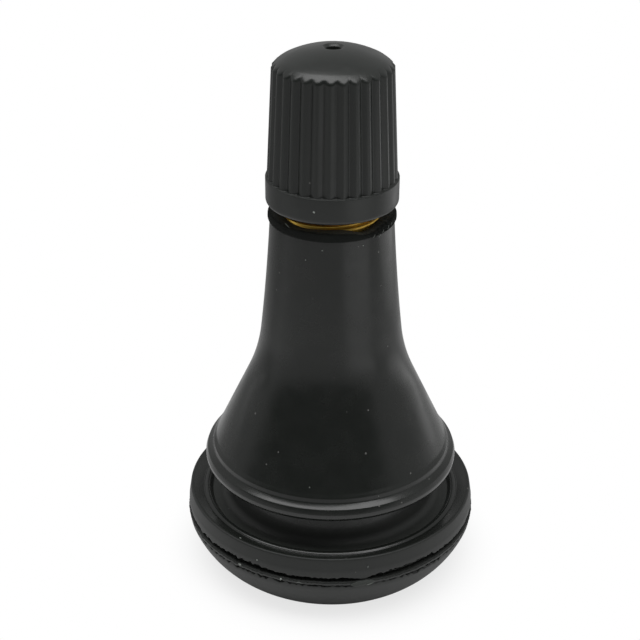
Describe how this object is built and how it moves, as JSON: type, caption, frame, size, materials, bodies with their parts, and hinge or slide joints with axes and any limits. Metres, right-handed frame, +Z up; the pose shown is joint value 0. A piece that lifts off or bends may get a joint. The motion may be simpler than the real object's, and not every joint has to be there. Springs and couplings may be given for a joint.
{
  "type": "tyre valve",
  "caption": "Snap-in rubber tyre valve with a brass stem, a screw-in sprung core and a ribbed plastic dust cap, standing upright on its base.",
  "frame": {"origin": "centre of the base, on the plane that the valve stands on", "axes": "+Z up along the valve's axis from the base to the cap, -Y towards the front of the picture"},
  "size_m": [0.0232, 0.0232, 0.0423],
  "materials": {
    "rubber": "satin moulded black rubber",
    "brass": "machined brass, a little dull",
    "cap_plastic": "matte moulded black plastic",
    "seal_rubber": "matte black rubber",
    "core_brass": "machined brass",
    "gasket": "dull red gasket",
    "pin_steel": "drawn steel",
    "spring_steel": "spring steel wire"
  },
  "bodies": {
    "stem": {"rubber_body": "rubber", "brass_stem": "brass"},
    "cap_washer": {"cap_seal": "seal_rubber"},
    "cap": {"valve_cap": "cap_plastic"},
    "core": {"core_barrel": "core_brass", "barrel_gasket": "gasket", "core_spring": "spring_steel"},
    "core_screw": {"core_plug": "core_brass"},
    "plunger": {"core_pin": "pin_steel", "plunger_cup": "core_brass", "plunger_seal": "seal_rubber"}
  },
  "joints": [
    {"name": "cap_lift", "type": "slide", "parent": "stem", "child": "cap_washer", "axis": [0, 0, 1], "range_m": [0, 0.00953]},
    {"name": "cap_turn", "type": "hinge", "parent": "cap_washer", "child": "cap", "pos_m": [0, 0, 0.0366], "axis": [0, 0, 1], "range_deg": [0, 4320]},
    {"name": "core_lift", "type": "slide", "parent": "stem", "child": "core", "axis": [0, 0, 1], "range_m": [0, 0.00212]},
    {"name": "core_turn", "type": "hinge", "parent": "core", "child": "core_screw", "pos_m": [0, 0, 0.0347], "axis": [0, 0, 1], "range_deg": [0, 1080]},
    {"name": "plunger_press", "type": "slide", "parent": "core", "child": "plunger", "axis": [0, 0, -1], "range_m": [0, 0.0011], "stiffness_N_per_m": 800, "springref_m": -0.003, "deforming": ["core_spring"]}
  ],
  "couplings": [
    {"joint": "cap_turn", "follows": "cap_lift", "rad_per_m": 7915.8},
    {"joint": "core_turn", "follows": "core_lift", "rad_per_m": 8905.3}
  ]
}
